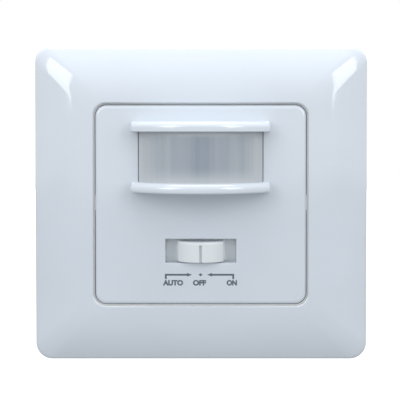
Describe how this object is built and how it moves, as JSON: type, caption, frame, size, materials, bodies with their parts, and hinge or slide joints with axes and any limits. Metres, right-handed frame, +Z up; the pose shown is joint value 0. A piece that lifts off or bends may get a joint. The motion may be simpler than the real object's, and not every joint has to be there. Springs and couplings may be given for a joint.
{
  "type": "motion sensor light switch",
  "caption": "Square wall switch plate with a hooded bowed infrared lens and a three-way slide knob, on a yoke with a relay housing behind it.",
  "frame": {"origin": "midway between the two box screws, on the wall plane behind the yoke", "axes": "X to the right and Z up as seen from the room; the front faces -Y and the housing lies at +Y"},
  "size_m": [0.09, 0.0543, 0.085],
  "materials": {
    "frame_plastic": "white, fine semi-gloss moulding",
    "panel_plastic": "white, satin moulding",
    "lens_plastic": "milky sheet with fine ribs",
    "knob_plastic": "white, semi-gloss moulding",
    "holder_plastic": "black filled nylon",
    "can_metal": "nickel-plated can",
    "filter_glass": "dark silicon filter",
    "lead_metal": "tinned wire",
    "photocell": "red-brown ceramic under clear resin",
    "board_green": "green solder resist on glass laminate",
    "chip_plastic": "black epoxy with tinned feet",
    "screw_steel": "zinc-plated screw",
    "shell_steel": "tinned folded sheet",
    "slider_plastic": "black acetal",
    "contact_copper": "silver-tipped copper alloy strip",
    "relay_iron": "passivated soft iron",
    "coil_copper": "enamelled copper wire on a bobbin",
    "relay_plastic": "blue moulded cap",
    "film_yellow": "yellow moulded box",
    "capacitor_sleeve": "dark shrink sleeve, aluminium top",
    "diode_black": "black epoxy with a pale band",
    "varistor_blue": "blue dipped coating",
    "fuse_brown": "brown moulded body",
    "terminal_plastic": "grey filled polyamide",
    "cage_brass": "nickel-flashed brass",
    "trimmer_plastic": "blue moulded body",
    "adjuster_plastic": "ivory acetal",
    "housing_plastic": "pale grey, fine spark texture",
    "yoke_zinc": "zinc-plated steel strip"
  },
  "bodies": {
    "root": {"outer_frame": "frame_plastic", "front_panel": "panel_plastic", "pir_lens": "lens_plastic", "lens_holder": "holder_plastic", "pir_sensor_can": "can_metal", "pir_filter_window": "filter_glass", "pir_base": "lead_metal", "light_sensor": "photocell", "sensor_board": "board_green", "control_chip": "chip_plastic", "board_screws": "screw_steel", "switch_shell": "shell_steel", "switch_base": "holder_plastic", "switch_pins": "lead_metal", "link_header": "holder_plastic", "link_pins": "lead_metal", "link_socket": "holder_plastic", "power_board": "board_green", "power_board_screws": "screw_steel", "relay_base": "holder_plastic", "relay_frame": "relay_iron", "relay_core": "relay_iron", "relay_coil": "coil_copper", "relay_contacts": "contact_copper", "relay_cover": "relay_plastic", "film_capacitor": "film_yellow", "storage_capacitors": "capacitor_sleeve", "bridge_diodes": "diode_black", "varistor": "varistor_blue", "fuse": "fuse_brown", "terminal_block": "terminal_plastic", "terminal_cages": "cage_brass", "terminal_screws": "screw_steel", "trimmer_bodies": "trimmer_plastic", "rear_housing": "housing_plastic", "housing_screws": "screw_steel", "mounting_yoke": "yoke_zinc", "yoke_screws": "screw_steel"},
    "slider": {"slide_knob": "knob_plastic", "switch_slider": "slider_plastic", "contact_bridge": "contact_copper"},
    "time_dial": {"time_adjuster": "adjuster_plastic"},
    "light_dial": {"light_adjuster": "adjuster_plastic"},
    "armature": {"relay_armature": "relay_iron"}
  },
  "joints": [
    {"name": "knob_slide", "type": "slide", "parent": "root", "child": "slider", "axis": [1, 0, 0], "range_m": [-0.002, 0.002]},
    {"name": "time_turn", "type": "hinge", "parent": "root", "child": "time_dial", "pos_m": [-0.0095, 0.031, 0.008], "axis": [0, 1, 0], "range_deg": [-135, 135]},
    {"name": "light_turn", "type": "hinge", "parent": "root", "child": "light_dial", "pos_m": [0.0095, 0.031, 0.008], "axis": [0, 1, 0], "range_deg": [-135, 135]},
    {"name": "armature_hinge", "type": "hinge", "parent": "root", "child": "armature", "pos_m": [-0.01635, 0.0112, 0.0083], "axis": [0, 0, 1], "range_deg": [0, 3.5], "stiffness_Nm_per_rad": 0.02}
  ]
}
